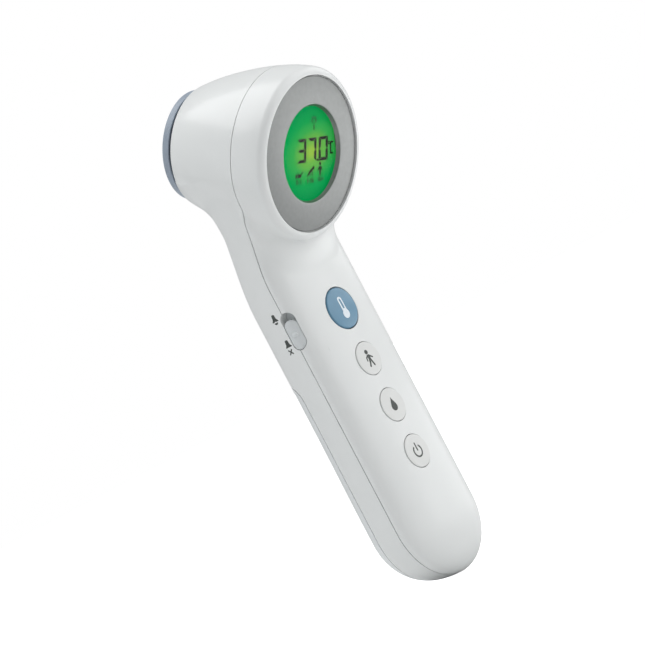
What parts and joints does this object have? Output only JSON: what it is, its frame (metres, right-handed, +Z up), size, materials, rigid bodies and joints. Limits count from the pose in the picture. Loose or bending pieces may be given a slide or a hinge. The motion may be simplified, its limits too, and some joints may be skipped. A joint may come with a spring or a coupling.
{
  "type": "no-touch infrared thermometer",
  "caption": "Hand-held no-touch infrared thermometer with a round backlit display on a tilted head, push buttons on the handle, a side slider and a sliding battery door.",
  "frame": {"origin": "middle of the grip, inside the handle on its long axis, where the hand closes round it", "axes": "+Z up along the handle, -Y out of the button face, +Y the way the nose leans, +X to the right seen from the buttons"},
  "size_m": [0.0534, 0.0577, 0.1675],
  "materials": {
    "white_shell": "gloss white moulded plastic",
    "door_white": "gloss white moulded plastic",
    "silver_bezel": "satin silver-grey",
    "clear_window": "clear acrylic",
    "lcd_green": "green backlit display",
    "diffuser": "frosted",
    "inner_white": "moulded",
    "led_green": "clear resin",
    "circuit_board": "solder mask",
    "chip_black": "moulded",
    "blue_grey_ring": "satin blue-grey",
    "dark_gasket": "matt dark",
    "cone_black": "satin black",
    "inner_black": "moulded",
    "sensor_metal": "nickel",
    "filter_glass": "dark filter",
    "lens_clear": "clear",
    "blue_button": "satin blue",
    "white_button": "gloss white",
    "grey_slider": "light grey-white",
    "switch_metal": "pressed",
    "cell_metal": "printed sleeve",
    "spring_metal": "nickel plated",
    "plate_metal": "nickel plated",
    "screw_metal": "zinc",
    "flex_amber": "polyimide film"
  },
  "bodies": {
    "housing": {"front_shell": "white_shell", "rear_shell": "white_shell", "display_bezel": "silver_bezel", "display_window": "clear_window", "lcd_panel": "lcd_green", "light_guide": "diffuser", "lcd_frame": "inner_white", "backlight_leds": "led_green", "display_board": "circuit_board", "display_driver": "chip_black", "nose_ring": "blue_grey_ring", "nose_gasket": "dark_gasket", "sensor_cone": "cone_black", "sensor_holder": "inner_black", "thermopile": "sensor_metal", "infrared_filter": "filter_glass", "guide_light_lens": "lens_clear", "sensor_board": "circuit_board", "tact_switches": "chip_black", "slide_switch": "switch_metal", "main_board": "circuit_board", "buzzer": "chip_black", "controller_chip": "chip_black", "board_components": "chip_black", "battery_tray": "inner_white", "aa_cells": "cell_metal", "contact_springs": "spring_metal", "contact_plates": "plate_metal", "housing_screws": "screw_metal", "board_screws": "screw_metal", "display_flex": "flex_amber", "sensor_flex": "flex_amber"},
    "measure_button": {"measure_button": "blue_button", "measure_plunger": "chip_black"},
    "age_button": {"age_button": "white_button", "age_plunger": "chip_black"},
    "object_button": {"object_button": "white_button", "object_plunger": "chip_black"},
    "power_button": {"power_button": "white_button", "power_plunger": "chip_black"},
    "mute_slider": {"mute_slider": "grey_slider", "slide_switch_lever": "chip_black"},
    "battery_door": {"battery_door": "door_white"}
  },
  "joints": [
    {"name": "measure_press", "type": "slide", "parent": "housing", "child": "measure_button", "axis": [0, 1, 0], "range_m": [0, 0.0005], "stiffness_N_per_m": 250, "springref_m": -0.001},
    {"name": "age_press", "type": "slide", "parent": "housing", "child": "age_button", "axis": [0, 1, 0], "range_m": [0, 0.0005], "stiffness_N_per_m": 250, "springref_m": -0.001},
    {"name": "object_press", "type": "slide", "parent": "housing", "child": "object_button", "axis": [0, 1, 0], "range_m": [0, 0.0005], "stiffness_N_per_m": 250, "springref_m": -0.001},
    {"name": "power_press", "type": "slide", "parent": "housing", "child": "power_button", "axis": [0, 1, 0], "range_m": [0, 0.0005], "stiffness_N_per_m": 250, "springref_m": -0.001},
    {"name": "mute_slide", "type": "slide", "parent": "housing", "child": "mute_slider", "axis": [0, 0, 1], "range_m": [0, 0.0023]},
    {"name": "door_slide", "type": "slide", "parent": "housing", "child": "battery_door", "axis": [0, 0, -1], "range_m": [0, 0.075]}
  ]
}
